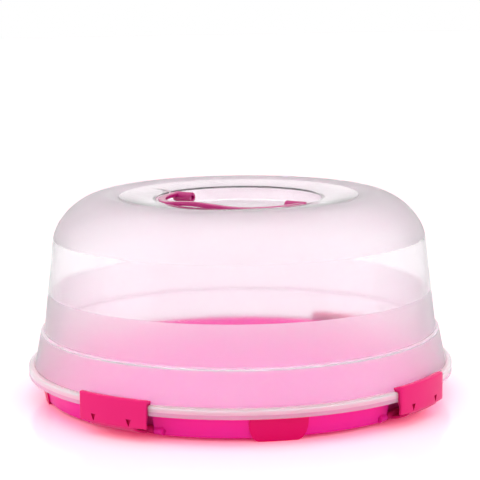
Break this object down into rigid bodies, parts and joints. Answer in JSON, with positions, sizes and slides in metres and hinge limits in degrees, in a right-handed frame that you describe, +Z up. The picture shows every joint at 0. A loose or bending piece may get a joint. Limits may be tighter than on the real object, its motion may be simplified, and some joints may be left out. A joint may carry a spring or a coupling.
{
  "type": "cake_carrier",
  "caption": "Round cake carrier: pink base tray on four feet, clear domed lift-off lid with a folding bail handle in its top well, and hooked clips hinged on the tray",
  "frame": {"origin": "centre of the footprint, on the surface the feet stand on", "axes": "+Z up; feet at front (-Y), right (+X), back and left; clips between them; the handle folds towards the front left"},
  "size_m": [0.3504, 0.3502, 0.1667],
  "materials": {
    "tray_plastic": "satin, slightly translucent hot pink moulding",
    "foot_plastic": "satin, deeper red pink",
    "clip_plastic": "smooth satin moulding",
    "lid_plastic": "translucent polypropylene, frosted shoulder and skirt, polished band and top disc",
    "handle_plastic": "smooth satin, slightly translucent"
  },
  "bodies": {
    "base": {"base_tray": "tray_plastic", "foot_front": "foot_plastic", "foot_right": "foot_plastic", "foot_back": "foot_plastic", "foot_left": "foot_plastic", "clip_pin_front_right": "tray_plastic", "clip_pin_back_right": "tray_plastic", "clip_pin_back_left": "tray_plastic", "clip_pin_front_left": "tray_plastic"},
    "lid": {"lid": "lid_plastic", "handle_pin_front": "handle_plastic", "handle_pin_back": "handle_plastic"},
    "handle": {"handle": "handle_plastic"},
    "clip_front_right": {"clip_front_right": "clip_plastic"},
    "clip_back_right": {"clip_back_right": "clip_plastic"},
    "clip_back_left": {"clip_back_left": "clip_plastic"},
    "clip_front_left": {"clip_front_left": "clip_plastic"}
  },
  "joints": [
    {"name": "lid_lift", "type": "slide", "parent": "base", "child": "lid", "axis": [0, 0, 1], "range_m": [0, 0.16]},
    {"name": "handle_fold", "type": "hinge", "parent": "lid", "child": "handle", "pos_m": [0, 0, 0.1588], "axis": [-0.7071, 0.7071, 0], "range_deg": [0, 172]},
    {"name": "clip_front_right_open", "type": "hinge", "parent": "base", "child": "clip_front_right", "pos_m": [0.10856, -0.1148, 0.0062], "axis": [0.7266, 0.6871, 0], "range_deg": [0, 22]},
    {"name": "clip_back_right_open", "type": "hinge", "parent": "base", "child": "clip_back_right", "pos_m": [0.10856, 0.1148, 0.0062], "axis": [-0.7266, 0.6871, 0], "range_deg": [0, 22]},
    {"name": "clip_back_left_open", "type": "hinge", "parent": "base", "child": "clip_back_left", "pos_m": [-0.10856, 0.1148, 0.0062], "axis": [-0.7266, -0.6871, 0], "range_deg": [0, 22]},
    {"name": "clip_front_left_open", "type": "hinge", "parent": "base", "child": "clip_front_left", "pos_m": [-0.10856, -0.1148, 0.0062], "axis": [0.7266, -0.6871, 0], "range_deg": [0, 22]}
  ]
}
